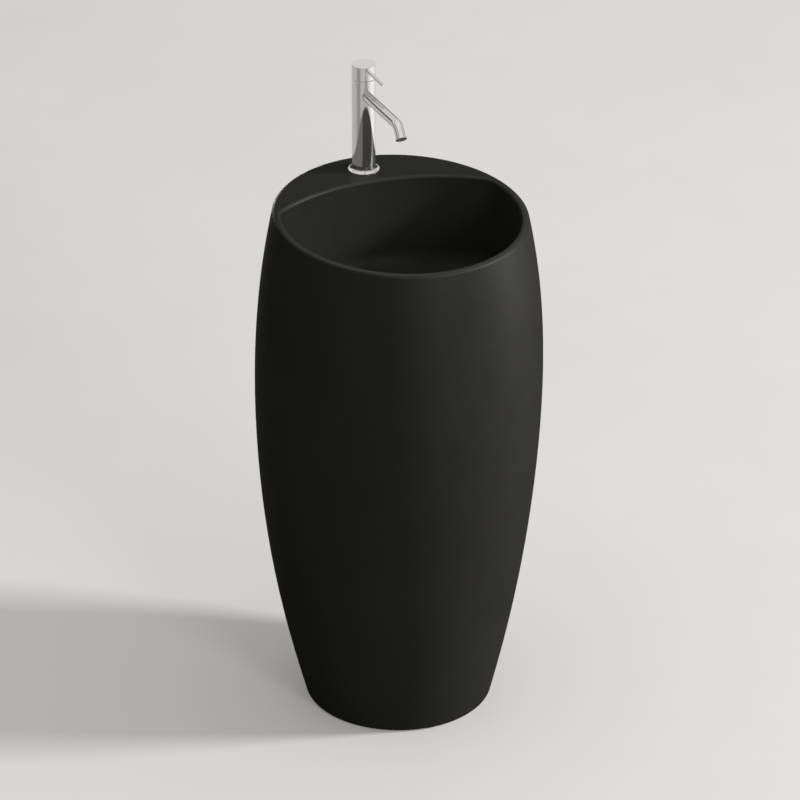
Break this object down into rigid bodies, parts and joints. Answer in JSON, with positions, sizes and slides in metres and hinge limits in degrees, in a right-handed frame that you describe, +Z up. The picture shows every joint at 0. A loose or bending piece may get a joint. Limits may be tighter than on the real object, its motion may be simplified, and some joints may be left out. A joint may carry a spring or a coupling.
{
  "type": "pedestal sink",
  "caption": "Free-standing barrel-shaped pedestal sink in matt black ceramic, with a deep bowl, a chrome single-lever tap, a push-plug waste and a bottle trap.",
  "frame": {"origin": "on the floor at the centre of the foot", "axes": "+Z up, front faces -Y, +X to the right seen from the front"},
  "size_m": [0.448, 0.4859, 1.034],
  "materials": {
    "matt_black_glaze": "matt",
    "chrome": "polished",
    "brass": "machined",
    "zinc_steel": "zinc plated",
    "rubber": "matt",
    "white_plastic": "moulded",
    "grey_plastic": "moulded",
    "disc_ceramic": "lapped",
    "black_plastic": "matt"
  },
  "bodies": {
    "basin": {"aerator_housing": "chrome", "aerator_insert": "grey_plastic", "aerator_washer": "rubber", "basin_body": "matt_black_glaze", "bracket_left": "zinc_steel", "bracket_right": "zinc_steel", "bracket_screws": "zinc_steel", "cartridge_housing": "grey_plastic", "cartridge_nut": "brass", "cartridge_seals": "rubber", "fixed_disc": "disc_ceramic", "fixing_gasket": "rubber", "fixing_nut": "brass", "fixing_stud": "zinc_steel", "fixing_washer": "zinc_steel", "plug_guide": "grey_plastic", "screw_caps": "black_plastic", "tap_base_ring": "chrome", "tap_base_seal": "rubber", "tap_body": "chrome", "tap_spout": "chrome", "trap_body": "white_plastic", "trap_collar_nut": "white_plastic", "trap_collar_seal": "rubber", "trap_cup": "white_plastic", "trap_cup_seal": "rubber", "trap_inlet_nut": "white_plastic", "trap_inlet_seal": "rubber", "trap_inlet_tube": "white_plastic", "trap_outlet_nut": "white_plastic", "trap_outlet_seal": "rubber", "trap_outlet_tube": "white_plastic", "waste_backnut": "brass", "waste_flange": "chrome", "waste_flange_seal": "rubber", "waste_lower_seal": "rubber", "waste_washer": "zinc_steel"},
    "plug": {"waste_plug": "chrome", "plug_seal": "rubber", "plug_stem": "brass"},
    "swivel": {"cartridge_rotor": "grey_plastic", "pivot_pin": "zinc_steel"},
    "lever": {"spindle": "zinc_steel", "handle_cap": "chrome", "lever_pin": "chrome", "grub_screw": "zinc_steel"},
    "disc": {"disc_carrier": "grey_plastic", "moving_disc": "disc_ceramic"}
  },
  "joints": [
    {"name": "lever_swivel", "type": "hinge", "parent": "basin", "child": "swivel", "pos_m": [0, 0.16, 0.9985], "axis": [0, 0, 1], "range_deg": [-45, 45]},
    {"name": "lever_tilt", "type": "hinge", "parent": "swivel", "child": "lever", "pos_m": [0, 0.16, 0.9985], "axis": [-1, 0, 0], "range_deg": [0, 20]},
    {"name": "disc_slide", "type": "slide", "parent": "swivel", "child": "disc", "axis": [0, -1, 0], "range_m": [0, 0.00365]},
    {"name": "plug_lift", "type": "slide", "parent": "basin", "child": "plug", "axis": [0, 0, 1], "range_m": [0, 0.009]}
  ],
  "couplings": [
    {"joint": "disc_slide", "follows": "lever_tilt", "m_per_rad": 0.010447}
  ]
}
